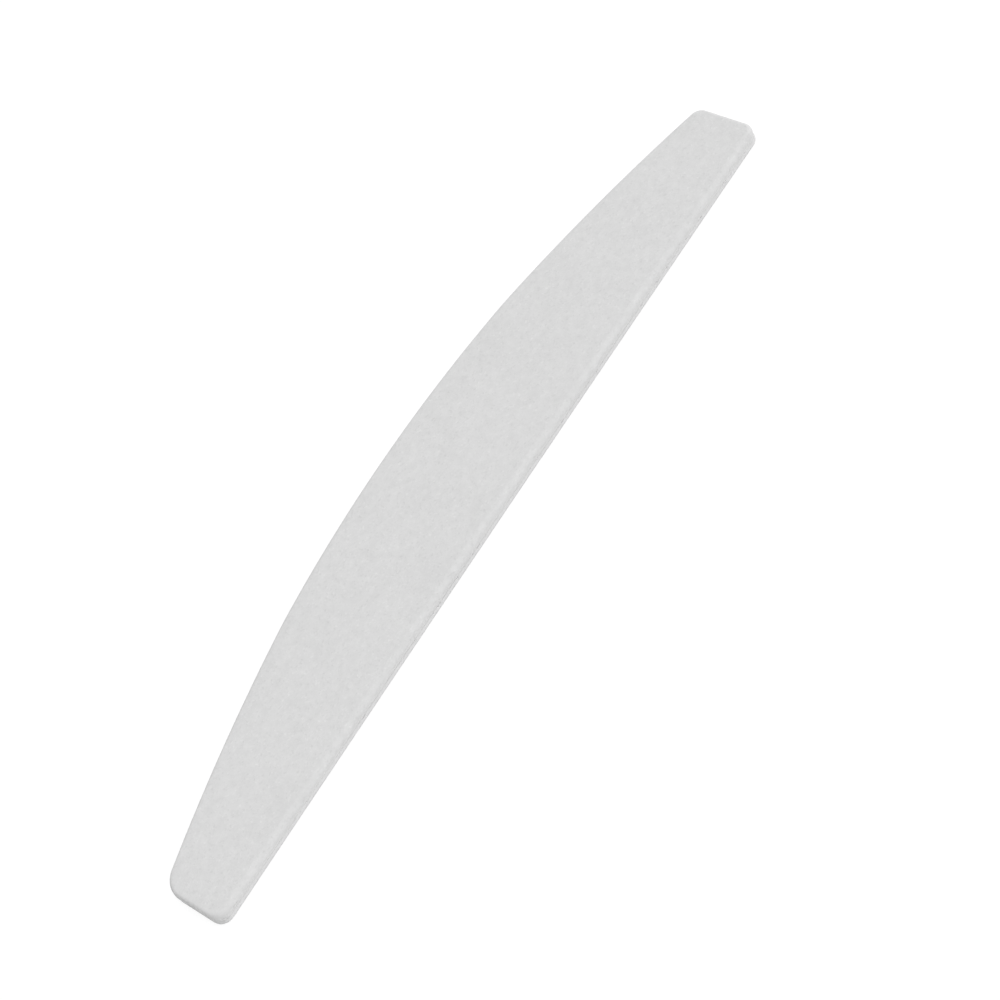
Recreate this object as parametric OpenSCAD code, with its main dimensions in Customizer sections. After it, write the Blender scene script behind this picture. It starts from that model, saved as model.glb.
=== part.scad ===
// Cushioned half-moon emery board, lying flat.
// X runs along the board, Y across it with the straight side at -Y, Z up through its layers.
// Both faces are a coated abrasive sheet on a foam pad, and a stiff plate lies between the pads.
// Each sheet is drawn down over the rim of its pad and ends in a lip that seats on the foam.

/* [Outline] */
// Length over both ends
board_l = 178; // [165:1:195]
// Width from the straight side to the top of the crown
board_w = 28; // [25:0.5:31]
// Width of the blunt ends, before their corners are rounded
end_w = 13.8; // [12.8:0.1:14.8]
// Slope of the arched side where the crown passes into the knee, in degrees
crown_slope = 6.8; // [5.8:0.1:7.8]
// Slope where the knee passes into the flank, in degrees
flank_slope = 9.3; // [8.6:0.1:10.3]
// Slope where the flank meets the end, in degrees
end_slope = 16.7; // [15.8:0.1:18]
// Radius of the knee between crown and flank
knee_r = 120; // [80:5:160]
// Corner radius at the straight side, and on the arched side at the right end
corner_r = 2.6; // [1.6:0.1:4]
// Corner radius on the arched side at the left end
blunt_corner_r = 4.9; // [1.6:0.1:6]
// How far the straight side is hollow at its middle
side_hollow = 0.28; // [0:0.02:0.4]

/* [Layers] */
// Thickness of the stiff core plate
core_t = 0.6; // [0.4:0.05:1.2]
// Thickness of the film of adhesive between the core plate and each pad
core_glue_t = 0.08; // [0.05:0.01:0.15]
// Thickness of each foam pad
foam_t = 0.97; // [0.85:0.01:2]
// Thickness of the film of adhesive between each pad and its sheet
sheet_glue_t = 0.08; // [0.05:0.01:0.12]
// Thickness of the backing paper
paper_t = 0.22; // [0.15:0.01:0.28]
// Thickness of the abrasive coat on the paper
grit_t = 0.13; // [0.08:0.01:0.18]

/* [Rim] */
// Width of the rolled shoulder along the long sides of the upper face
top_roll_w = 1.05; // [0.65:0.01:1.4]
// Its width at the blunt ends, where the sheet turns down more sharply
top_end_roll_w = 0.8; // [0.65:0.01:1.4]
// Height of the rolled shoulder round the upper face, down to its lip
top_roll_h = 1.2; // [0.7:0.01:1.3]
// Width of the rolled shoulder round the lower face
bottom_roll_w = 0.6; // [0.55:0.01:0.9]
// Height of the rolled shoulder round the lower face, up to its lip
bottom_roll_h = 0.7; // [0.55:0.01:0.9]
// How far the bare foam stands back from the lips of the sheets
lip_step = 0.03; // [0.02:0.01:0.1]
// How far the bare wall is drawn in at its waist, along the lower face of the core plate
waist_depth = 0.11; // [0.1:0.01:0.25]
// How much further the films of adhesive at the core plate are set back
film_setback = 0.03; // [0.01:0.01:0.1]

/* [Fineness] */
// Straight pieces in each half of the crown
crown_steps = 6; // [3:1:10]
// Straight pieces in each knee
knee_steps = 2; // [1:1:4]
// Straight pieces in each flank
flank_steps = 8; // [4:1:12]
// Straight pieces in each corner
corner_steps = 6; // [3:1:8]
// Straight pieces in each half of the straight side
side_steps = 5; // [3:1:8]
// Straight pieces in the roll of the upper sheet
top_roll_steps = 6; // [3:1:8]
// Straight pieces in the roll of the lower sheet
bottom_roll_steps = 3; // [2:1:6]

/* [Hidden] */

// Colours
grit_colour = [0.85, 0.85, 0.85];
paper_colour = [0.90, 0.90, 0.88];
foam_colour = [0.92, 0.92, 0.91];
core_colour = [0.88, 0.88, 0.88];
glue_colour = [0.93, 0.92, 0.86];

// Depths below either face
paper_depth = grit_t;
glue_depth = paper_depth + paper_t;
sheet_t = glue_depth + sheet_glue_t;

// Levels, from the surface that the board lies on
bottom_foam_z = sheet_t;
bottom_core_glue_z = bottom_foam_z + foam_t;
core_z = bottom_core_glue_z + core_glue_t;
top_core_glue_z = core_z + core_t;
top_foam_z = top_core_glue_z + core_glue_t;
board_t = top_foam_z + foam_t + sheet_t;
top_lip_z = board_t - top_roll_h;
bottom_lip_z = bottom_roll_h;
waist_z = core_z;

// Angles at which a corner fillet ends
end_side = 0;
straight_side = -90;

// The arched side is three tangent arcs a half: crown, knee and flank.
// The crown and flank radii are those that take it from the crown's top to the end's corner.
half_l = board_l / 2;
half_w = board_w / 2;
knee_run = knee_r * (sin(flank_slope) - sin(crown_slope));
knee_fall = knee_r * (cos(crown_slope) - cos(flank_slope));
arc_run = half_l - knee_run;
arc_fall = board_w - end_w - knee_fall;
crown_run_share = sin(crown_slope);
crown_fall_share = 1 - cos(crown_slope);
flank_run_share = sin(end_slope) - sin(flank_slope);
flank_fall_share = cos(flank_slope) - cos(end_slope);
arc_scale = crown_run_share * flank_fall_share - crown_fall_share * flank_run_share;
crown_r = (arc_run * flank_fall_share - arc_fall * flank_run_share) / arc_scale;
flank_r = (crown_run_share * arc_fall - crown_fall_share * arc_run) / arc_scale;

function along(slope) = [sin(slope), cos(slope)];
crown_centre = [0, half_w - crown_r];
knee_centre = crown_centre + (crown_r - knee_r) * along(crown_slope);
flank_centre = knee_centre + (knee_r - flank_r) * along(flank_slope);

// Where a corner of radius r touches both the flank and the end: its centre, and the flank's slope there
function arch_corner_x(r) = half_l - r;
function arch_corner_slope(r) = asin((arch_corner_x(r) - flank_centre.x) / (flank_r - r));
function arch_corner_centre(r) = flank_centre + (flank_r - r) * along(arch_corner_slope(r));

// Outline points are [x, y, outward normal], the normal as an angle from +X
function arc_points(centre, radius, first, last, steps) = [
    for (k = [0:steps])
        let (angle = first + (last - first) * k / steps)
        [centre.x + radius * cos(angle), centre.y + radius * sin(angle), angle]
];

function without_first(points) = [for (k = [1:len(points) - 1]) points[k]];

// The straight side is hollow by a hair: a parabola between the corners.
// From a corner, run from the middle, its points go towards the middle and stop short of it.
function side_points(run) = [
    for (k = [1:side_steps - 1])
        let (share = 1 - k / side_steps, slope = -2 * side_hollow * share / run)
        [run * share, side_hollow * (1 - share * share) - half_w, straight_side + atan(slope)]
];

// Right half, from the top of the crown clockwise to the straight side, with arch corner radius r
function half_outline(r) = concat(
    arc_points(crown_centre, crown_r, 90, 90 - crown_slope, crown_steps),
    without_first(arc_points(knee_centre, knee_r, 90 - crown_slope, 90 - flank_slope, knee_steps)),
    without_first(arc_points(flank_centre, flank_r, 90 - flank_slope, 90 - arch_corner_slope(r), flank_steps)),
    without_first(arc_points(arch_corner_centre(r), r, 90 - arch_corner_slope(r), end_side, corner_steps)),
    arc_points([half_l - corner_r, corner_r - half_w], corner_r, end_side, straight_side, corner_steps),
    side_points(half_l - corner_r)
);

function mirrored(points) = [for (p = points) [-p.x, p.y, 180 - p.z]];
function reversed(points) = [for (k = [len(points) - 1:-1:0]) points[k]];

// The whole outline, anticlockwise seen from above
outline = concat(
    without_first(mirrored(half_outline(blunt_corner_r))),
    reversed(half_outline(corner_r))
);
corners = len(outline);

// A ring runs round the outline at a level, moved in by one inset along the sides and another at the ends.
// It is [side inset, end inset, level], and the inset passes from one to the other round the corners.
function even_ring(inset, z) = [inset, inset, z];

function ring_point(p, ring) =
    let (inset = ring[0] + (ring[1] - ring[0]) * pow(cos(p.z), 2))
    [p.x - inset * cos(p.z), p.y - inset * sin(p.z), ring[2]];

// Skins a stack of rings, given from the cap that faces up to the cap that faces down
module loft(rings) {
    last_ring = len(rings) - 1;
    points = [for (ring = rings) for (p = outline) ring_point(p, ring)];
    up_cap = [for (k = [corners - 1:-1:0]) k];
    down_cap = [for (k = [0:corners - 1]) last_ring * corners + k];
    walls = [
        for (r = [0:last_ring - 1])
            for (k = [0:corners - 1])
                let (next = (k + 1) % corners, upper = r * corners, lower = upper + corners)
                [upper + k, upper + next, lower + next, lower + k]
    ];
    polyhedron(points = points, faces = concat([up_cap], walls, [down_cap]), convexity = 4);
}

// The inset of a layer at a depth, where its roll has turned through an angle
function roll_inset(width, depth, turn) = width - (width - depth) * sin(turn);

// Rings down the quarter of an ellipse that a roll makes at a depth below the upper face
function top_roll(depth) = [
    for (k = [0:top_roll_steps])
        let (turn = 90 * k / top_roll_steps)
        [
            roll_inset(top_roll_w, depth, turn),
            roll_inset(top_end_roll_w, depth, turn),
            top_lip_z + (top_roll_h - depth) * cos(turn)
        ]
];

// The same at a depth above the lower face, from the lip down
function bottom_roll(depth) = [
    for (k = [bottom_roll_steps:-1:0])
        let (turn = 90 * k / bottom_roll_steps)
        even_ring(roll_inset(bottom_roll_w, depth, turn), bottom_lip_z - (bottom_roll_h - depth) * cos(turn))
];

// A layer of the upper sheet between two depths, curled down round the rim
module top_layer(outer_depth, inner_depth) {
    loft(concat(top_roll(outer_depth), reversed(top_roll(inner_depth))));
}

// A layer of the lower sheet between two depths, curled up round the rim
module bottom_layer(outer_depth, inner_depth) {
    loft(concat(reversed(bottom_roll(inner_depth)), bottom_roll(outer_depth)));
}

// The bare wall between the lips leans in from both of them to the waist
function wall_ring(z) =
    let (
        lip_z = z > waist_z ? top_lip_z : bottom_lip_z,
        lean = (z - waist_z) / (lip_z - waist_z)
    )
    even_ring(waist_depth - (waist_depth - lip_step) * lean, z);

function set_back(ring, distance) = [ring[0] + distance, ring[1] + distance, ring[2]];

module core_plate() {
    color(core_colour) loft([wall_ring(core_z + core_t), wall_ring(core_z)]);
}

// A film of adhesive on a face of the core plate, from level z up
module core_film(z) {
    loft([
        set_back(wall_ring(z + core_glue_t), film_setback),
        set_back(wall_ring(z), film_setback)
    ]);
}

module top_core_adhesive() {
    color(glue_colour) core_film(top_core_glue_z);
}

module bottom_core_adhesive() {
    color(glue_colour) core_film(bottom_core_glue_z);
}

// The pads have a rounded shoulder under their sheet, a ledge under its lip and a bare wall
module top_foam_pad() {
    color(foam_colour)
        loft(concat(top_roll(sheet_t), [wall_ring(top_lip_z), wall_ring(top_foam_z)]));
}

module bottom_foam_pad() {
    color(foam_colour)
        loft(concat([wall_ring(bottom_core_glue_z), wall_ring(bottom_lip_z)], bottom_roll(sheet_t)));
}

module top_sheet_adhesive() {
    color(glue_colour) top_layer(glue_depth, sheet_t);
}

module bottom_sheet_adhesive() {
    color(glue_colour) bottom_layer(glue_depth, sheet_t);
}

module top_backing_paper() {
    color(paper_colour) top_layer(paper_depth, glue_depth);
}

module bottom_backing_paper() {
    color(paper_colour) bottom_layer(paper_depth, glue_depth);
}

module top_grit_coat() {
    color(grit_colour) top_layer(0, paper_depth);
}

module bottom_grit_coat() {
    color(grit_colour) bottom_layer(0, paper_depth);
}

core_plate();
top_core_adhesive();
top_foam_pad();
top_sheet_adhesive();
top_backing_paper();
top_grit_coat();
bottom_core_adhesive();
bottom_foam_pad();
bottom_sheet_adhesive();
bottom_backing_paper();
bottom_grit_coat();
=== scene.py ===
"""Dresses a cushioned half-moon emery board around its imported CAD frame."""

import math

import bpy
import numpy as np
from bpy.props import FloatProperty, FloatVectorProperty, IntProperty, PointerProperty
from mathutils import Matrix, Vector


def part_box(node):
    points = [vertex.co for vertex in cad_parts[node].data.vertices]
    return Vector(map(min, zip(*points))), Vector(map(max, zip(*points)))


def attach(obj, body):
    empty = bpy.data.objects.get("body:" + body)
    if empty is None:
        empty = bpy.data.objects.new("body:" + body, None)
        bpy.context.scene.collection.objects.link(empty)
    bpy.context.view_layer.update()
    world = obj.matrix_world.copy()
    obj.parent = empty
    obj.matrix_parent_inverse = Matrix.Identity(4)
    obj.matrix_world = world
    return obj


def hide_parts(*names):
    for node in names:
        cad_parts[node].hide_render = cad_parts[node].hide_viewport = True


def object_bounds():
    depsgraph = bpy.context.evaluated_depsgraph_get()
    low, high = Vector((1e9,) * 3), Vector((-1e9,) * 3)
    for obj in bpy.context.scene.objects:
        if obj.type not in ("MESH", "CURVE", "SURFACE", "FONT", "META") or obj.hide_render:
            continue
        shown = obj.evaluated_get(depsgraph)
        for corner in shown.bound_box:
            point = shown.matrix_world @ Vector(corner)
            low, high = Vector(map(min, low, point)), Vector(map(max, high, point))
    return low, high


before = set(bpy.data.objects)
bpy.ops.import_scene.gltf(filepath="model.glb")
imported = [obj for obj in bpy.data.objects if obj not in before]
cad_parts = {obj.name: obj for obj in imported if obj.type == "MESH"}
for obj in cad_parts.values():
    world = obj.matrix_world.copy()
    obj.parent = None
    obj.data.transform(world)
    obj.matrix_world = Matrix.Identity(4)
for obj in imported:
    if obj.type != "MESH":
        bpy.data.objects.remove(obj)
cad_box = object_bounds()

bl_info = {
    "name": "Half-moon emery board",
    "version": (1, 0, 0),
    "blender": (4, 5, 0),
    "location": "3D View > Sidebar > Emery board",
    "description": "Builds the abrasive sheets, foam pads and core plate of a cushioned nail file",
    "category": "Object",
}

MM = 0.001
BODY = "root"


def linear(hex_colour):
    """An sRGB hex colour as linear red, green and blue."""
    values = [int(hex_colour[k:k + 2], 16) / 255 for k in (0, 2, 4)]
    return tuple(v / 12.92 if v <= 0.04045 else ((v + 0.055) / 1.055) ** 2.4 for v in values)


def level(node, corner):
    """The lowest (corner 0) or highest (corner 1) level of a CAD node."""
    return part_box(node)[corner].z


class EmeryBoardSizes(bpy.types.PropertyGroup):
    """Sizes of the board. Where the frame gives a size, that is its default."""

    length: FloatProperty(
        name="Length", description="Length over both ends",
        default=(cad_box[1] - cad_box[0]).x, unit="LENGTH")
    width: FloatProperty(
        name="Width",
        description="Width from the ends of the straight side to the top of the crown",
        default=(cad_box[1] - cad_box[0]).y, unit="LENGTH")
    thickness: FloatProperty(
        name="Thickness", description="Thickness over both abrasive coats",
        default=(cad_box[1] - cad_box[0]).z, unit="LENGTH")
    end_width: FloatProperty(
        name="End width", description="Width of the blunt ends before their corners are rounded",
        default=13.8 * MM, unit="LENGTH")
    crown_slope: FloatProperty(
        name="Crown slope", description="Slope of the arched side where crown meets knee",
        default=math.radians(6.8), subtype="ANGLE")
    flank_slope: FloatProperty(
        name="Flank slope", description="Slope of the arched side where knee meets flank",
        default=math.radians(9.3), subtype="ANGLE")
    end_slope: FloatProperty(
        name="End slope", description="Slope of the arched side where the flank meets the end",
        default=math.radians(16.7), subtype="ANGLE")
    knee_radius: FloatProperty(
        name="Knee radius", description="Radius of the knee between crown and flank",
        default=120 * MM, unit="LENGTH")
    corner_radius: FloatProperty(
        name="Corner radius", description="Radius of three of the four corners",
        default=2.6 * MM, unit="LENGTH")
    blunt_corner_radius: FloatProperty(
        name="Blunt corner radius",
        description="Radius of the left end's corner on the arched side",
        default=4.9 * MM, unit="LENGTH")
    side_hollow: FloatProperty(
        name="Side hollow", description="How far the straight side is hollow at its middle",
        default=0.28 * MM, unit="LENGTH")
    grit: FloatProperty(
        name="Abrasive coat", description="Thickness of the abrasive coat",
        default=level("top_grit_coat", 1) - level("top_backing_paper", 1), unit="LENGTH")
    sheet: FloatProperty(
        name="Sheet", description="Thickness of coat, paper and adhesive together",
        default=level("top_grit_coat", 1) - level("top_foam_pad", 1), unit="LENGTH")
    top_roll_width: FloatProperty(
        name="Upper roll width",
        description="Width of the upper shoulder along the board's long sides",
        default=1.05 * MM, unit="LENGTH")
    top_end_roll_width: FloatProperty(
        name="Upper end roll width", description="Width of the upper shoulder at the blunt ends",
        default=0.8 * MM, unit="LENGTH")
    top_roll_height: FloatProperty(
        name="Upper roll height", description="Height of the upper shoulder, down to its lip",
        default=level("top_grit_coat", 1) - level("top_grit_coat", 0), unit="LENGTH")
    bottom_roll_width: FloatProperty(
        name="Lower roll width", description="Width of the rolled shoulder round the lower face",
        default=0.6 * MM, unit="LENGTH")
    bottom_roll_height: FloatProperty(
        name="Lower roll height", description="Height of the lower shoulder, up to its lip",
        default=level("bottom_grit_coat", 1) - level("bottom_grit_coat", 0), unit="LENGTH")
    lip_step: FloatProperty(
        name="Lip step",
        description="How far the bare foam stands back from the lips of the sheets",
        default=(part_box("top_grit_coat")[1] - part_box("top_foam_pad")[1]).x, unit="LENGTH")
    waist_depth: FloatProperty(
        name="Waist depth",
        description="How far the wall is drawn in along the core plate's lower face",
        default=0.11 * MM, unit="LENGTH")
    edge_round: FloatProperty(
        name="Edge rounding", description="Radius of the die-cut arrises of the core plate",
        default=0.04 * MM, unit="LENGTH")


class EmeryBoardTexture(bpy.types.PropertyGroup):
    """Fineness of the meshes, and the sizes of clumps of grains, foam cells and torn gaps."""

    columns: IntProperty(
        name="Columns", description="Cells along each abrasive face", default=680)
    rows: IntProperty(
        name="Rows", description="Cells across each abrasive face", default=92)
    wall_step: FloatProperty(
        name="Wall step", description="Length of a cell round the board's walls",
        default=0.2 * MM, unit="LENGTH")
    grain: FloatProperty(
        name="Grain", description="Size of the clumps of grains that the mesh holds",
        default=0.42 * MM, unit="LENGTH")
    grain_relief: FloatProperty(
        name="Grain relief", description="Depth between the clumps of grains",
        default=0.03 * MM, unit="LENGTH")
    wall_row: FloatProperty(
        name="Wall row", description="Height of a cell on the foam's bare wall",
        default=0.1 * MM, unit="LENGTH")
    foam_cell: FloatProperty(
        name="Foam cell", description="Size of the cut cells on the foam's wall",
        default=0.35 * MM, unit="LENGTH")
    foam_relief: FloatProperty(
        name="Foam relief", description="Depth of the cut cells",
        default=0.03 * MM, unit="LENGTH")
    gap: FloatProperty(
        name="Gap", description="Size of the gaps where the foam has torn from the core plate",
        default=0.8 * MM, unit="LENGTH")
    top_gap_depth: FloatProperty(
        name="Upper gap depth", description="Depth of the torn gaps above the core plate",
        default=0.1 * MM, unit="LENGTH")
    bottom_gap_depth: FloatProperty(
        name="Lower gap depth", description="Depth of the torn gaps below the core plate",
        default=0.45 * MM, unit="LENGTH")


class EmeryBoardColours(bpy.types.PropertyGroup):
    """Colours of the board's materials."""

    grit: FloatVectorProperty(
        name="Abrasive coat", description="Light grey of the coated grains",
        default=linear("D8D8D8"), subtype="COLOR", min=0, max=1)
    foam: FloatVectorProperty(
        name="Foam", description="White of the EVA foam",
        default=linear("DFDFDF"), subtype="COLOR", min=0, max=1)
    core: FloatVectorProperty(
        name="Core plate", description="Pale grey of the polystyrene",
        default=linear("D9D9D9"), subtype="COLOR", min=0, max=1)
    paper: FloatVectorProperty(
        name="Backing paper", description="White of the backing paper",
        default=linear("D9D9D7"), subtype="COLOR", min=0, max=1)
    adhesive: FloatVectorProperty(
        name="Adhesive", description="Pale grey that the clear adhesive shows",
        default=linear("D8D8D7"), subtype="COLOR", min=0, max=1)
    floor: FloatVectorProperty(
        name="Floor", description="White of the studio floor",
        default=linear("FBFBFB"), subtype="COLOR", min=0, max=1)


# Outline

# How far apart the outline's points are, on its arcs and on the straight side.
ARC_STEP = 0.1 * MM
SIDE_STEP = 1 * MM


def along(slope):
    """The direction from an arc's centre to its point of that slope."""
    return np.array([math.sin(slope), math.cos(slope)])


def arc(centre, radius, first, last):
    """Close points along an arc as rows of x, y and the angle of the outward normal."""
    count = max(1, math.ceil(abs(last - first) * radius / ARC_STEP))
    angles = np.linspace(first, last, count + 1)
    x = centre[0] + radius * np.cos(angles)
    y = centre[1] + radius * np.sin(angles)
    return np.stack([x, y, angles], axis=1)


def hollow_side(run, depth, half_width):
    """The right half of the straight side, hollow by a hair: a parabola up to its corner."""
    x = np.linspace(0, run, round(run / SIDE_STEP))
    y = depth * (1 - (x / run) ** 2) - half_width
    slope = -2 * depth * x / run ** 2
    return np.stack([x, y, np.arctan(slope) - math.pi / 2], axis=1)


def mirrored(side):
    """A stretch of outline at the other end of the board, still anticlockwise."""
    return np.stack([-side[:, 0], side[:, 1], math.pi - side[:, 2]], axis=1)[::-1]


def half_outline(sizes, arch_radius):
    """The right half's stretches, anticlockwise: straight side, end and arched side.

    Each is cut at the middle of a corner. The arched side is three tangent arcs, whose crown and
    flank radii are those that take it from the top of the crown to the corner of the end.
    """
    half_length = sizes.length / 2
    half_width = sizes.width / 2
    crown, flank, end = sizes.crown_slope, sizes.flank_slope, sizes.end_slope
    knee = sizes.knee_radius
    run = half_length - knee * (math.sin(flank) - math.sin(crown))
    fall = sizes.width - sizes.end_width - knee * (math.cos(crown) - math.cos(flank))
    shares = np.array([
        [math.sin(crown), math.sin(end) - math.sin(flank)],
        [1 - math.cos(crown), math.cos(flank) - math.cos(end)],
    ])
    crown_radius, flank_radius = np.linalg.solve(shares, [run, fall])
    crown_centre = np.array([0, half_width - crown_radius])
    knee_centre = crown_centre + (crown_radius - knee) * along(crown)
    flank_centre = knee_centre + (knee - flank_radius) * along(flank)

    corner = sizes.corner_radius
    low_centre = (half_length - corner, corner - half_width)
    reach = half_length - arch_radius - flank_centre[0]
    arch_slope = math.asin(reach / (flank_radius - arch_radius))
    arch_centre = flank_centre + (flank_radius - arch_radius) * along(arch_slope)
    quarter = math.pi / 2
    middle = (quarter - arch_slope) / 2

    straight = np.vstack([
        hollow_side(half_length - corner, sizes.side_hollow, half_width),
        arc(low_centre, corner, -quarter, -quarter / 2),
    ])
    end_side = np.vstack([
        arc(low_centre, corner, -quarter / 2, 0),
        arc(arch_centre, arch_radius, 0, middle),
    ])
    arch = np.vstack([
        arc(arch_centre, arch_radius, middle, quarter - arch_slope),
        arc(flank_centre, flank_radius, quarter - arch_slope, quarter - flank),
        arc(knee_centre, knee, quarter - flank, quarter - crown),
        arc(crown_centre, crown_radius, quarter - crown, quarter),
    ])
    return straight, end_side, arch


def outline_sides(sizes):
    """The outline's four sides, anticlockwise from the left corner of the straight side."""
    straight, right, arch = half_outline(sizes, sizes.corner_radius)
    left_straight, left, left_arch = map(mirrored, half_outline(sizes, sizes.blunt_corner_radius))
    return [np.vstack([left_straight, straight]), right, np.vstack([arch, left_arch]), left]


def walk(side, ring, fractions):
    """Points at fractions of a side's length, on a ring of side inset, end inset and level."""
    normal = np.stack([np.cos(side[:, 2]), np.sin(side[:, 2])], axis=1)
    inset = ring[0] + (ring[1] - ring[0]) * normal[:, :1] ** 2
    line = side[:, :2] - inset * normal
    steps = np.linalg.norm(np.diff(line, axis=0), axis=1)
    length = np.concatenate([[0], np.cumsum(steps)])
    where = np.asarray(fractions) * length[-1]
    return np.stack([np.interp(where, length, line[:, k]) for k in (0, 1)], axis=1)


def roll(width, end_width, height, depth, steps):
    """Rings of a rolled shoulder at a depth below its face, from the flat to the lip.

    Each is a side inset, an end inset and how far it lies below the face.
    """
    turns = np.linspace(0, math.pi / 2, steps + 1)
    insets = [wide - (wide - depth) * np.sin(turns) for wide in (width, end_width)]
    return np.stack([*insets, height - (height - depth) * np.cos(turns)], axis=1)


def shoulder_rings(sizes, side, depth, steps):
    """Rings of the top or bottom shoulder at a depth below its face, from the flat to the lip.

    Each is a side inset, an end inset and a level.
    """
    if side == "bottom":
        width, height = sizes.bottom_roll_width, sizes.bottom_roll_height
        return roll(width, width, height, depth, steps)
    width, end_width = sizes.top_roll_width, sizes.top_end_roll_width
    rings = roll(width, end_width, sizes.top_roll_height, depth, steps)
    rings[:, 2] = sizes.thickness - rings[:, 2]
    return rings


def wall_rings(sizes, levels):
    """Rings of the bare wall, which leans in from both lips to the core plate's lower face."""
    waist = level("core_plate", 0)
    lips = np.where(levels > waist, level("top_grit_coat", 0), level("bottom_grit_coat", 1))
    lean = (levels - waist) / (lips - waist)
    inset = sizes.waist_depth - (sizes.waist_depth - sizes.lip_step) * lean
    return np.stack([inset, inset, levels], axis=1)


# Modelling

TOP_ROLL_STEPS = 8
BOTTOM_ROLL_STEPS = 5
SMALL_ARC_STEPS = 3  # of an arc that is tiny or out of sight
TORN_ROWS = 3  # rows of a pad's vertices that tear, from the core plate up
WELD = 0.001 * MM
SHARP_EDGE = math.radians(40)


def deselect_all():
    """Leaves edit mode and selects nothing."""
    if bpy.context.object and bpy.context.object.mode != "OBJECT":
        bpy.ops.object.mode_set(mode="OBJECT")
    bpy.ops.object.select_all(action="DESELECT")


def add_grid(name, x_cells, y_cells):
    """A unit grid primitive, and the column and row of each of its vertices."""
    deselect_all()
    bpy.ops.mesh.primitive_grid_add(x_subdivisions=x_cells, y_subdivisions=y_cells, size=1)
    piece = bpy.context.object
    piece.name = piece.data.name = name
    flat = np.empty(len(piece.data.vertices) * 3)
    piece.data.vertices.foreach_get("co", flat)
    flat = flat.reshape(-1, 3)
    column = np.rint((flat[:, 0] + 0.5) * x_cells).astype(int)
    row = np.rint((flat[:, 1] + 0.5) * y_cells).astype(int)
    return piece, column, row


def place(piece, points):
    """Moves each vertex of a piece to its point."""
    piece.data.vertices.foreach_set("co", np.asarray(points, float).ravel())
    piece.data.update()


def close(piece):
    """Welds a piece's seam, fills its open loops and turns its faces outwards."""
    bpy.ops.object.mode_set(mode="EDIT")
    bpy.ops.mesh.select_all(action="SELECT")
    bpy.ops.mesh.remove_doubles(threshold=WELD)
    bpy.ops.mesh.select_all(action="SELECT")
    bpy.ops.mesh.fill_holes(sides=0)
    bpy.ops.mesh.select_all(action="SELECT")
    bpy.ops.mesh.normals_make_consistent(inside=False)
    bpy.ops.object.mode_set(mode="OBJECT")


def spread_evenly(points):
    """Spreads the inner points of a grid between its four edges, as a Coons patch."""
    u = np.linspace(0, 1, points.shape[0])[:, None, None]
    v = np.linspace(0, 1, points.shape[1])[None, :, None]
    low, high = points[:, :1].copy(), points[:, -1:].copy()
    left, right = points[:1].copy(), points[-1:].copy()
    between_sides = (1 - v) * low + v * high + (1 - u) * left + u * right
    between_corners = (
        (1 - u) * (1 - v) * low[:1] + u * (1 - v) * low[-1:]
        + (1 - u) * v * high[:1] + u * v * high[-1:])
    points[:] = between_sides - between_corners


def lay_sheet(name, sizes, texture, rings):
    """A grid laid over a face of the board and drawn round its rim.

    The grid's outer loops of vertices follow the rings, from the hidden edge inside the roll, over
    the lip and up to the flat. The rest lies flat inside the last ring.
    """
    last = len(rings) - 1
    columns, rows = texture.columns + 2 * last, texture.rows + 2 * last
    piece, column, row = add_grid(name, columns, rows)
    sides = outline_sides(sizes)
    place_at = np.zeros((columns + 1, rows + 1, 3))
    for k, outer in enumerate(rings):
        across = np.linspace(0, 1, columns - 2 * k + 1)
        up = np.linspace(0, 1, rows - 2 * k + 1)
        ring = place_at[k:columns - k + 1, k:rows - k + 1]
        ring[:, 0, :2] = walk(sides[0], outer, across)
        ring[-1, :, :2] = walk(sides[1], outer, up)
        ring[::-1, -1, :2] = walk(sides[2], outer, across)
        ring[0, ::-1, :2] = walk(sides[3], outer, up)
        ring[:, [0, -1], 2] = ring[[0, -1], :, 2] = outer[2]
    spread_evenly(place_at[last:columns - last + 1, last:rows - last + 1])
    place(piece, place_at[column, row])
    loop = np.minimum.reduce([column, columns - column, row, rows - row])
    return piece, loop


def wrap_band(name, sizes, texture, rings):
    """A grid rolled into a closed band round the board's outline, through the rings."""
    whole = np.vstack(outline_sides(sizes))
    perimeter = np.linalg.norm(np.diff(whole[:, :2], axis=0), axis=1).sum()
    columns = round(perimeter / texture.wall_step)
    piece, column, row = add_grid(name, columns, len(rings) - 1)
    around = np.linspace(0, 1, columns + 1)
    place_at = np.zeros((columns + 1, len(rings), 3))
    for k, ring in enumerate(rings):
        place_at[:, k, :2] = walk(whole, ring, around)
        place_at[:, k, 2] = ring[2]
    place(piece, place_at[column, row])
    return piece, row


def mark(piece, group, chosen):
    """Keeps the chosen vertices in a group, so that emboss finds them again."""
    vertices = np.flatnonzero(chosen).tolist()
    piece.vertex_groups.new(name=group).add(vertices, 1, "REPLACE")


def emboss(piece, group, texture_kind, size, strength, **settings):
    """Presses a procedural texture into the vertices of a group, along their normals."""
    pattern = bpy.data.textures.new(piece.name + "_" + texture_kind.lower(), texture_kind)
    pattern.noise_scale = size
    pattern.use_clamp = True
    for name, value in settings.items():
        setattr(pattern, name, value)
    modifier = piece.modifiers.new("emboss", "DISPLACE")
    modifier.texture = pattern
    modifier.texture_coords = "LOCAL"
    modifier.vertex_group = group
    modifier.mid_level = 0
    modifier.strength = -strength
    bpy.context.view_layer.objects.active = piece
    bpy.ops.object.modifier_apply(modifier=modifier.name)
    bpy.data.textures.remove(pattern)


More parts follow.
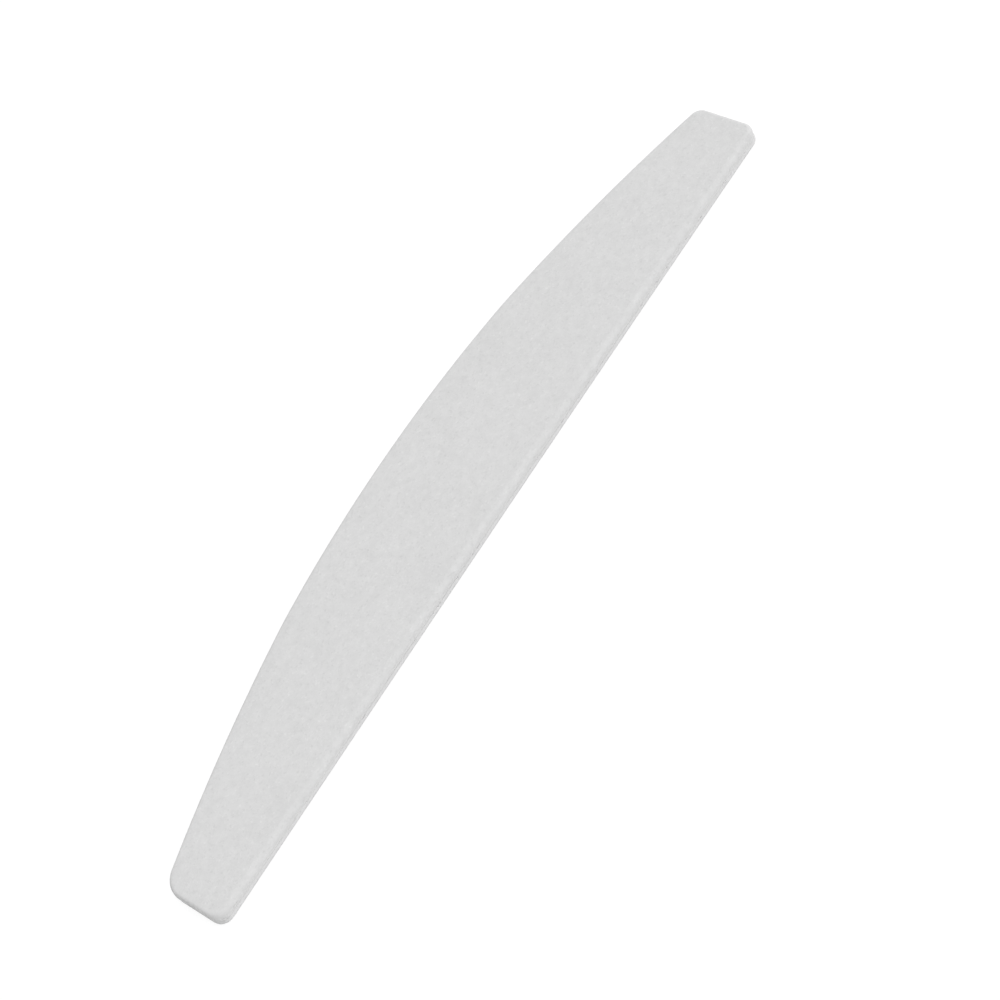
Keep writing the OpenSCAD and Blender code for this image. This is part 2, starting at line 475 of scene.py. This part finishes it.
def finish_piece(piece, material, slot, *nodes):
    """Gives a piece its smooth shading, material and body, and hides what it replaces."""
    deselect_all()
    piece.select_set(True)
    bpy.context.view_layer.objects.active = piece
    piece.vertex_groups.clear()
    bpy.ops.object.shade_smooth_by_angle(angle=SHARP_EDGE)
    piece.data.materials.clear()
    piece.data.materials.append(material)
    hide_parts(*nodes)
    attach(piece, BODY)
    deselect_all()


# Materials

# How the abrasive's clumps are shaded: about what share of them is darker than each shade.
CLUMP_SHADES = ((0.0, 0.93), (0.12, 0.98), (0.25, 0.997), (0.75, 1.003), (0.9, 1.015), (1.0, 1.07))
# Nearly all of a noise pattern lies between these values.
NOISE_SPAN = {"From Min": 0.2, "From Max": 0.8}


def add_node(tree, kind, inputs=None, **settings):
    """Adds a node. inputs gives a value, or an output to link, for each input by name or number."""
    node = tree.nodes.new(kind)
    for name, value in settings.items():
        setattr(node, name, value)
    for name, value in (inputs or {}).items():
        if isinstance(value, bpy.types.NodeSocket):
            tree.links.new(value, node.inputs[name])
        else:
            node.inputs[name].default_value = value
    return node


def new_material(name):
    """A material with an empty node tree, and that tree."""
    material = bpy.data.materials.new(name)
    material.use_nodes = True
    material.node_tree.nodes.clear()
    return material, material.node_tree


def own_place(tree):
    """The object's own coordinates, which every pattern reads."""
    return add_node(tree, "ShaderNodeTexCoord").outputs["Object"]


def finish_material(tree, colour, patterns, **shader):
    """Adds the Principled shader, whose base colour is the colour times each grey pattern."""
    for pattern in patterns:
        tint = add_node(
            tree, "ShaderNodeVectorMath", {0: colour, 1: pattern.outputs[0]}, operation="MULTIPLY")
        colour = tint.outputs[0]
    principled = add_node(tree, "ShaderNodeBsdfPrincipled", {"Base Color": colour, **shader})
    add_node(tree, "ShaderNodeOutputMaterial", {"Surface": principled.outputs[0]})


def abrasive_coat(colours):
    """Grains of white and grey aluminium oxide in resin under a stearate coat: dead matt and even.

    Single grains of 100 to 180 grit are 0.08 to 0.15 mm, too fine to show, so they are drawn as
    clumps of 0.3 mm and more: most within 2% of the mean, with a few light and dark ones. The
    resin mottles them over 1.8 mm, and the depth of the coat changes their tone over 6 mm.
    """
    material, tree = new_material("abrasive_coat")
    where = own_place(tree)
    mottle = add_node(tree, "ShaderNodeTexNoise", {
        "Vector": where, "Scale": 1 / (1.8 * MM), "Detail": 3.0, "Roughness": 0.75})
    cloud = add_node(tree, "ShaderNodeMapRange", {
        "Value": mottle.outputs[0], **NOISE_SPAN, "To Min": 0.94, "To Max": 1.06})
    spread = add_node(tree, "ShaderNodeTexNoise", {
        "Vector": where, "Scale": 1 / (6 * MM), "Detail": 1.0})
    coat_depth = add_node(tree, "ShaderNodeMapRange", {
        "Value": spread.outputs[0], **NOISE_SPAN, "To Min": 0.984, "To Max": 1.016})

    drift = [1.2 * MM] * 3
    swirl = add_node(tree, "ShaderNodeVectorMath", {
        0: mottle.outputs["Color"], 1: drift, 2: where}, operation="MULTIPLY_ADD")
    grains = add_node(
        tree, "ShaderNodeTexVoronoi",
        {"Vector": swirl.outputs[0], "Scale": 1 / (0.34 * MM), "Smoothness": 0.4},
        feature="SMOOTH_F1")
    chance = add_node(tree, "ShaderNodeSeparateColor", {0: grains.outputs["Color"]})
    shade = add_node(tree, "ShaderNodeValToRGB", {0: chance.outputs[0]})
    for share, _ in CLUMP_SHADES[1:-1]:
        shade.color_ramp.elements.new(share)
    # A ramp holds nothing over 1, so it holds halves, and the next node doubles them.
    for stop, (share, value) in zip(shade.color_ramp.elements, CLUMP_SHADES):
        stop.position = share
        stop.color = (value / 2, value / 2, value / 2, 1)
    speckle = add_node(
        tree, "ShaderNodeVectorMath", {0: shade.outputs[0], "Scale": 2.0}, operation="SCALE")

    fines = add_node(tree, "ShaderNodeTexNoise", {
        "Vector": where, "Scale": 1 / (0.3 * MM), "Detail": 3.0, "Roughness": 0.6})
    relief = add_node(tree, "ShaderNodeMath", {
        0: fines.outputs[0], 1: grains.outputs["Distance"]}, operation="SUBTRACT")
    bump = add_node(tree, "ShaderNodeBump", {
        "Strength": 0.3, "Distance": 0.03 * MM, "Height": relief.outputs[0]})
    finish_material(
        tree, colours.grit, (speckle, cloud, coat_depth),
        Roughness=0.92, IOR=1.5, Normal=bump.outputs[0])
    return material


def eva_foam(colours):
    """White EVA foam, split through its closed cells: soft, matt and finely pitted."""
    material, tree = new_material("eva_foam")
    cells = add_node(tree, "ShaderNodeTexVoronoi", {
        "Vector": own_place(tree), "Scale": 1 / (0.2 * MM)})
    shade = add_node(tree, "ShaderNodeMapRange", {
        "Value": cells.outputs["Distance"], "To Min": 0.9, "To Max": 1.04})
    bump = add_node(tree, "ShaderNodeBump", {
        "Strength": 0.6, "Distance": 0.05 * MM, "Height": cells.outputs["Distance"]})
    finish_material(
        tree, colours.foam, (shade,), Roughness=0.9, IOR=1.48, Normal=bump.outputs[0])
    return material


def polystyrene(colours):
    """Pale grey polystyrene sheet, die-cut: satin, with fine upright drag lines on the cut."""
    material, tree = new_material("polystyrene")
    stretched = add_node(tree, "ShaderNodeMapping", {
        "Vector": own_place(tree), "Scale": (1, 1, 0.08)})
    lines = add_node(tree, "ShaderNodeTexNoise", {
        "Vector": stretched.outputs[0], "Scale": 1 / (0.25 * MM), "Detail": 2.0})
    shade = add_node(tree, "ShaderNodeMapRange", {
        "Value": lines.outputs[0], "To Min": 0.95, "To Max": 1.05})
    bump = add_node(tree, "ShaderNodeBump", {
        "Strength": 0.4, "Distance": 0.02 * MM, "Height": lines.outputs[0]})
    finish_material(
        tree, colours.core, (shade,), Roughness=0.5, IOR=1.59, Normal=bump.outputs[0])
    return material


def backing_paper(colours):
    """Latex-treated kraft backing, bleached: matt, with short fibres along the cut."""
    material, tree = new_material("backing_paper")
    stretched = add_node(tree, "ShaderNodeMapping", {
        "Vector": own_place(tree), "Scale": (0.3, 1, 3)})
    fibres = add_node(tree, "ShaderNodeTexNoise", {
        "Vector": stretched.outputs[0], "Scale": 1 / (0.15 * MM), "Detail": 4.0})
    shade = add_node(tree, "ShaderNodeMapRange", {
        "Value": fibres.outputs[0], "To Min": 0.92, "To Max": 1.05})
    bump = add_node(tree, "ShaderNodeBump", {
        "Strength": 0.4, "Distance": 0.02 * MM, "Height": fibres.outputs[0]})
    finish_material(
        tree, colours.paper, (shade,), Roughness=0.85, IOR=1.5, Normal=bump.outputs[0])
    return material


def acrylic_adhesive(colours):
    """Acrylic pressure-sensitive adhesive, nearly colourless, with a wet gloss on its cut.

    It is clear, but it lies between pale layers, so it is drawn as a pale opaque film.
    """
    material, tree = new_material("acrylic_adhesive")
    strings = add_node(tree, "ShaderNodeTexNoise", {
        "Vector": own_place(tree), "Scale": 1 / (0.4 * MM), "Detail": 2.0})
    shade = add_node(tree, "ShaderNodeMapRange", {
        "Value": strings.outputs[0], "To Min": 0.93, "To Max": 1.05})
    finish_material(tree, colours.adhesive, (shade,), Roughness=0.25, IOR=1.47)
    return material


# Operators

class EMERY_OT_abrasive_sheets(bpy.types.Operator):
    """Lays a coat of abrasive grains over each face and draws it round the rim"""

    bl_idname = "emery.abrasive_sheets"
    bl_label = "Abrasive sheets"

    def execute(self, context):
        scene = context.scene
        sizes, texture = scene.emery_sizes, scene.emery_texture
        material = abrasive_coat(scene.emery_colours)
        for side, steps in (("top", TOP_ROLL_STEPS), ("bottom", BOTTOM_ROLL_STEPS)):
            inner = shoulder_rings(sizes, side, sizes.grit, SMALL_ARC_STEPS)
            outer = shoulder_rings(sizes, side, 0, steps)[::-1]
            rings = np.vstack([inner, outer])
            piece, loop = lay_sheet(side + "_abrasive", sizes, texture, rings)
            mark(piece, "coat", loop >= len(inner))
            close(piece)
            emboss(piece, "coat", "VORONOI", texture.grain, texture.grain_relief)
            finish_piece(piece, material, "abrasive_grit", side + "_grit_coat")
        return {"FINISHED"}


class EMERY_OT_foam_pads(bpy.types.Operator):
    """Makes the two foam pads, with their shoulders, ledges and pitted walls"""

    bl_idname = "emery.foam_pads"
    bl_label = "Foam pads"

    def execute(self, context):
        scene = context.scene
        sizes, texture = scene.emery_sizes, scene.emery_texture
        material = eva_foam(scene.emery_colours)
        pads = (
            ("top", 0, texture.top_gap_depth),
            ("bottom", 1, texture.bottom_gap_depth),
        )
        for side, core_corner, gap_depth in pads:
            node = side + "_foam_pad"
            shoulder = shoulder_rings(sizes, side, sizes.sheet, SMALL_ARC_STEPS)
            lip_level, core_level = shoulder[-1, 2], level(node, core_corner)
            wall_rows = max(2, round(abs(lip_level - core_level) / texture.wall_row))
            wall = wall_rings(sizes, np.linspace(lip_level, core_level, wall_rows + 1))
            rings = np.vstack([shoulder, wall])
            piece, ring = wrap_band(side + "_foam", sizes, texture, rings)
            last = len(rings) - 1
            mark(piece, "wall", (ring > len(shoulder)) & (ring < last))
            mark(piece, "torn_edge", ring > last - TORN_ROWS)
            close(piece)
            emboss(piece, "wall", "VORONOI", texture.foam_cell, texture.foam_relief)
            emboss(piece, "torn_edge", "CLOUDS", texture.gap, gap_depth, contrast=4, intensity=0)
            finish_piece(piece, material, "white_foam", node)
        return {"FINISHED"}


class EMERY_OT_core_plate(bpy.types.Operator):
    """Makes the die-cut core plate with its eased arrises"""

    bl_idname = "emery.core_plate"
    bl_label = "Core plate"

    def execute(self, context):
        scene = context.scene
        sizes, texture = scene.emery_sizes, scene.emery_texture
        ease = sizes.edge_round
        eased = roll(ease, ease, ease, 0, SMALL_ARC_STEPS)
        upper, lower = eased.copy(), eased[::-1].copy()
        upper[:, 2] = level("core_plate", 1) - upper[:, 2]
        lower[:, 2] += level("core_plate", 0)
        rings = np.vstack([upper, lower])
        rings[:, :2] += wall_rings(sizes, rings[:, 2])[:, :2]
        piece, _ = wrap_band("core", sizes, texture, rings)
        close(piece)
        finish_piece(piece, polystyrene(scene.emery_colours), "core_plastic", "core_plate")
        return {"FINISHED"}


class EMERY_OT_paper_and_adhesive(bpy.types.Operator):
    """Gives the backing papers and the films of adhesive their materials"""

    bl_idname = "emery.paper_and_adhesive"
    bl_label = "Paper and adhesive"

    def execute(self, context):
        colours = context.scene.emery_colours
        paper, adhesive = backing_paper(colours), acrylic_adhesive(colours)
        layers = {"backing_paper": paper, "sheet_adhesive": adhesive, "core_adhesive": adhesive}
        for side in ("top", "bottom"):
            for layer, material in layers.items():
                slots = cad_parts[side + "_" + layer].data.materials
                slots.clear()
                slots.append(material)
        return {"FINISHED"}


# Stage

CAMERA_PLACE = Vector((-104.50, -248.73, 349.89)) * MM
CAMERA_AZIMUTH = math.radians(-24.083)
CAMERA_ELEVATION = math.radians(53.343)
CAMERA_ROLL = math.radians(36.238)
SENSOR_WIDTH = 36  # mm
FOCAL_SHARE = 2.4  # focal length over sensor width
CLIP_START, CLIP_END = 0.01, 20  # metres

FLOOR_SIZE = 4  # metres
FLOOR_DROP = 0.02 * MM  # keeps the floor clear of the lower face
FLOOR_GLOW = 0.88  # what the camera sees of the floor where no light falls
FLOOR_SHARE = 0.16  # the share of the falling light that is added to the glow

KEY_STRENGTH = 1.01
KEY_ANGLE = math.radians(40)
KEY_FROM = Vector((0.25, -0.46, 1))
TENT_LEVEL = 0.86  # from the middle rightwards
TENT_LEFT_LEVEL = 0.17  # from the far left
WHITE = (1, 1, 1, 1)


def camera_turn():
    """The camera's axes: right, up and back."""
    azimuth, elevation, tilt = CAMERA_AZIMUTH, CAMERA_ELEVATION, CAMERA_ROLL
    back = Vector((
        math.sin(azimuth) * math.cos(elevation),
        -math.cos(azimuth) * math.cos(elevation),
        math.sin(elevation)))
    level_right = Vector((0, 0, 1)).cross(back).normalized()
    level_up = back.cross(level_right)
    right = math.cos(tilt) * level_right - math.sin(tilt) * level_up
    up = back.cross(right)
    return Matrix((right, up, back)).transposed()


def seen_directly(tree):
    """1 for what the camera sees straight, in gloss or through a clear thing, otherwise 0."""
    path = add_node(tree, "ShaderNodeLightPath")
    seen = path.outputs["Is Camera Ray"]
    for ray in ("Is Glossy Ray", "Is Transmission Ray"):
        either = add_node(
            tree, "ShaderNodeMath", {0: seen, 1: path.outputs[ray]}, operation="MAXIMUM")
        seen = either.outputs[0]
    return seen


def white_card(colours):
    """A flat sheet of white card. The camera sees it as white, with a faint shadow of the board."""
    material, tree = new_material("white_card")
    card = add_node(tree, "ShaderNodeBsdfDiffuse", {"Color": (*colours.floor, 1)})
    shadowed = add_node(tree, "ShaderNodeBsdfDiffuse", {
        "Color": (FLOOR_SHARE, FLOOR_SHARE, FLOOR_SHARE, 1)})
    glow = add_node(tree, "ShaderNodeEmission", {"Strength": FLOOR_GLOW})
    lit = add_node(tree, "ShaderNodeAddShader", {0: shadowed.outputs[0], 1: glow.outputs[0]})
    mix = add_node(tree, "ShaderNodeMixShader", {
        0: seen_directly(tree), 1: card.outputs[0], 2: lit.outputs[0]})
    add_node(tree, "ShaderNodeOutputMaterial", {"Surface": mix.outputs[0]})
    return material


def light_tent():
    """A light tent as the world: even all round but for its dark left side, and seen as white."""
    world = bpy.data.worlds.new("studio")
    world.use_nodes = True
    tree = world.node_tree
    tree.nodes.clear()
    way = add_node(tree, "ShaderNodeTexCoord").outputs["Generated"]
    towards = add_node(tree, "ShaderNodeSeparateXYZ", {0: way})
    strength = add_node(tree, "ShaderNodeMapRange", {
        "Value": towards.outputs["X"], "From Min": -1.0, "From Max": 0.0,
        "To Min": TENT_LEFT_LEVEL, "To Max": TENT_LEVEL})
    soft = add_node(
        tree, "ShaderNodeBackground", {"Color": WHITE, "Strength": strength.outputs[0]})
    white = add_node(tree, "ShaderNodeBackground", {"Color": WHITE, "Strength": 1.0})
    mix = add_node(tree, "ShaderNodeMixShader", {
        0: seen_directly(tree), 1: soft.outputs[0], 2: white.outputs[0]})
    add_node(tree, "ShaderNodeOutputWorld", {"Surface": mix.outputs[0]})
    return world


class EMERY_OT_stage(bpy.types.Operator):
    """Sets the camera, the floor and the soft studio light"""

    bl_idname = "emery.stage"
    bl_label = "Stage"

    def execute(self, context):
        scene = context.scene
        deselect_all()
        bpy.ops.mesh.primitive_plane_add(size=FLOOR_SIZE, location=(0, 0, -FLOOR_DROP))
        floor = bpy.context.object
        floor.name = "floor"
        floor.data.materials.append(white_card(scene.emery_colours))

        bpy.ops.object.light_add(type="SUN")
        key = bpy.context.object
        key.name = "key_light"
        key.data.energy = KEY_STRENGTH
        key.data.angle = KEY_ANGLE
        key.rotation_euler = KEY_FROM.to_track_quat("Z", "Y").to_euler()
        scene.world = light_tent()

        bpy.ops.object.camera_add()
        camera = bpy.context.object
        camera.name = "camera"
        camera.data.sensor_fit = "HORIZONTAL"
        camera.data.sensor_width = SENSOR_WIDTH
        camera.data.lens = FOCAL_SHARE * SENSOR_WIDTH
        camera.data.clip_start = CLIP_START
        camera.data.clip_end = CLIP_END
        camera.matrix_world = Matrix.Translation(CAMERA_PLACE) @ camera_turn().to_4x4()
        scene.camera = camera
        scene.view_settings.view_transform = "Standard"
        return {"FINISHED"}


class EMERY_PT_panel(bpy.types.Panel):
    """Lists the board's sizes, colours and pieces"""

    bl_idname = "EMERY_PT_panel"
    bl_label = "Emery board"
    bl_space_type = "VIEW_3D"
    bl_region_type = "UI"
    bl_category = "Emery board"

    def draw(self, context):
        for scene_property in GROUPS:
            group = getattr(context.scene, scene_property)
            box = self.layout.box()
            for name in group.__annotations__:
                box.prop(group, name)
        for operator in OPERATORS:
            self.layout.operator(operator.bl_idname)


GROUPS = {
    "emery_sizes": EmeryBoardSizes,
    "emery_texture": EmeryBoardTexture,
    "emery_colours": EmeryBoardColours,
}
OPERATORS = (
    EMERY_OT_abrasive_sheets,
    EMERY_OT_foam_pads,
    EMERY_OT_core_plate,
    EMERY_OT_paper_and_adhesive,
    EMERY_OT_stage,
)


def register():
    for cls in (*GROUPS.values(), *OPERATORS, EMERY_PT_panel):
        bpy.utils.register_class(cls)
    for name, group in GROUPS.items():
        setattr(bpy.types.Scene, name, PointerProperty(type=group))


def unregister():
    for name in GROUPS:
        delattr(bpy.types.Scene, name)
    for cls in (EMERY_PT_panel, *OPERATORS, *GROUPS.values()):
        bpy.utils.unregister_class(cls)


def main():
    register()
    bpy.ops.emery.abrasive_sheets()
    bpy.ops.emery.foam_pads()
    bpy.ops.emery.core_plate()
    bpy.ops.emery.paper_and_adhesive()
    bpy.ops.emery.stage()


if __name__ == "__main__":
    main()
